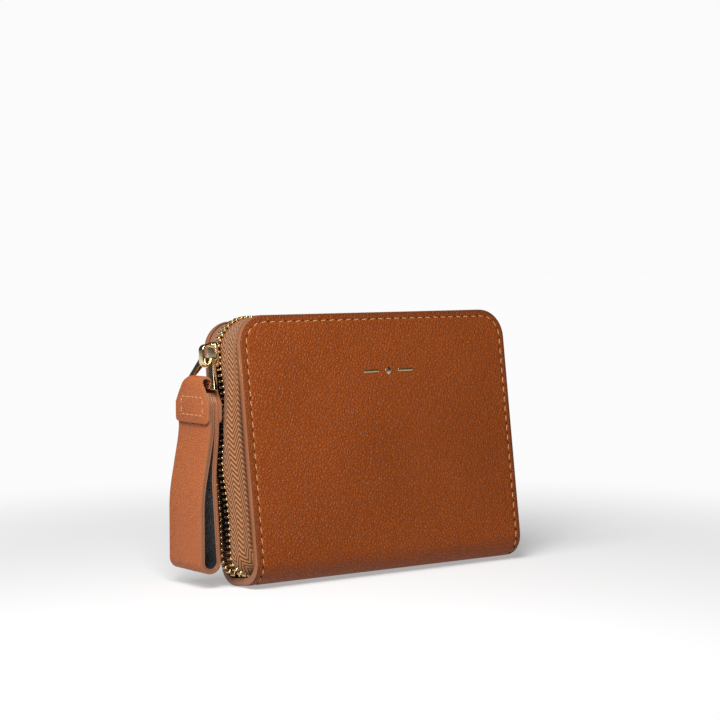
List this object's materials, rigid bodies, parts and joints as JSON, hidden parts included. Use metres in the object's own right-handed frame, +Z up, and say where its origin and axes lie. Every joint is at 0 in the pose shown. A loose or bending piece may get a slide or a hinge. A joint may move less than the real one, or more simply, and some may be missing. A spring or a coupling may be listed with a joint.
{
  "type": "zip around wallet",
  "caption": "Zip-around leather wallet on its spine, with hinged covers, a sliding zip puller, a hanging wrist strap and a zipped coin pocket inside.",
  "frame": {"origin": "centre of the flat strip of the spine that the wallet stands on", "axes": "+X along the spine, away from the zip slider; -Y out of the front cover; +Z up, from the spine to the zipped top"},
  "size_m": [0.1491, 0.0362, 0.1012],
  "materials": {
    "cover_leather": "pebbled, semi-gloss",
    "strap_leather": "fine grain, satin",
    "pocket_leather": "smooth, satin",
    "board": "matte bonded board",
    "lining": "fine black weave",
    "zip_tape": "herringbone weave",
    "zip_metal": "polished pale gold",
    "foil": "stamped foil"
  },
  "bodies": {
    "spine": {"spine_leather": "cover_leather", "spine_filler": "board", "spine_lining": "lining", "coin_pocket_front": "lining", "coin_pocket_back": "lining", "coin_pocket_gusset": "lining", "coin_zip_upper_tape": "zip_tape", "coin_zip_lower_tape": "zip_tape", "coin_zip_upper_teeth": "zip_metal", "coin_zip_lower_teeth": "zip_metal", "coin_zip_stops": "zip_metal", "front_left_gusset": "lining", "front_right_gusset": "lining", "back_left_gusset": "lining", "back_right_gusset": "lining"},
    "front_cover": {"front_leather": "cover_leather", "front_board": "board", "front_lining": "lining", "front_zip_tape": "zip_tape", "front_zip_teeth": "zip_metal", "front_zip_stops": "zip_metal", "front_card_pocket_1": "pocket_leather", "front_card_pocket_2": "pocket_leather", "foil_ornament": "foil"},
    "back_cover": {"back_leather": "cover_leather", "back_board": "board", "back_lining": "lining", "back_zip_tape": "zip_tape", "back_zip_teeth": "zip_metal", "back_zip_stops": "zip_metal", "back_card_pocket_1": "pocket_leather", "back_card_pocket_2": "pocket_leather"},
    "slider": {"slider_body": "zip_metal", "slider_bridge": "zip_metal"},
    "puller": {"puller_frame": "zip_metal"},
    "strap": {"tab_leather": "strap_leather", "strap_leather": "strap_leather", "strap_lining": "lining"},
    "coin_slider": {"coin_slider": "zip_metal"},
    "coin_puller": {"coin_puller": "zip_metal"}
  },
  "joints": [
    {"name": "front_cover_fold", "type": "hinge", "parent": "spine", "child": "front_cover", "pos_m": [0, 0, 0.004], "axis": [1, 0, 0], "range_deg": [0, 45], "deforming": ["spine_leather", "spine_filler", "spine_lining", "front_left_gusset", "front_right_gusset"]},
    {"name": "back_cover_fold", "type": "hinge", "parent": "spine", "child": "back_cover", "pos_m": [0, 0, 0.004], "axis": [-1, 0, 0], "range_deg": [0, 45], "deforming": ["back_left_gusset", "back_right_gusset"]},
    {"name": "slider_travel", "type": "slide", "parent": "back_cover", "child": "slider", "axis": [0.0385, 0, 0.9993], "range_m": [-0.068, 0]},
    {"name": "puller_swing", "type": "hinge", "parent": "slider", "child": "puller", "pos_m": [-0.07118, 0, 0.0847], "axis": [0, 0.9907, 0.1357], "range_deg": [0, 110]},
    {"name": "strap_swing", "type": "hinge", "parent": "puller", "child": "strap", "pos_m": [-0.074, 0.00272, 0.07592], "axis": [0, 0.9907, 0.1357], "range_deg": [0, 45], "deforming": ["tab_leather"]},
    {"name": "coin_slider_travel", "type": "slide", "parent": "spine", "child": "coin_slider", "axis": [1, 0, 0], "range_m": [0, 0.074]},
    {"name": "coin_puller_swing", "type": "hinge", "parent": "coin_slider", "child": "coin_puller", "pos_m": [-0.037, -0.0035, 0.0775], "axis": [0, 1, 0], "range_deg": [-90, 90]}
  ]
}
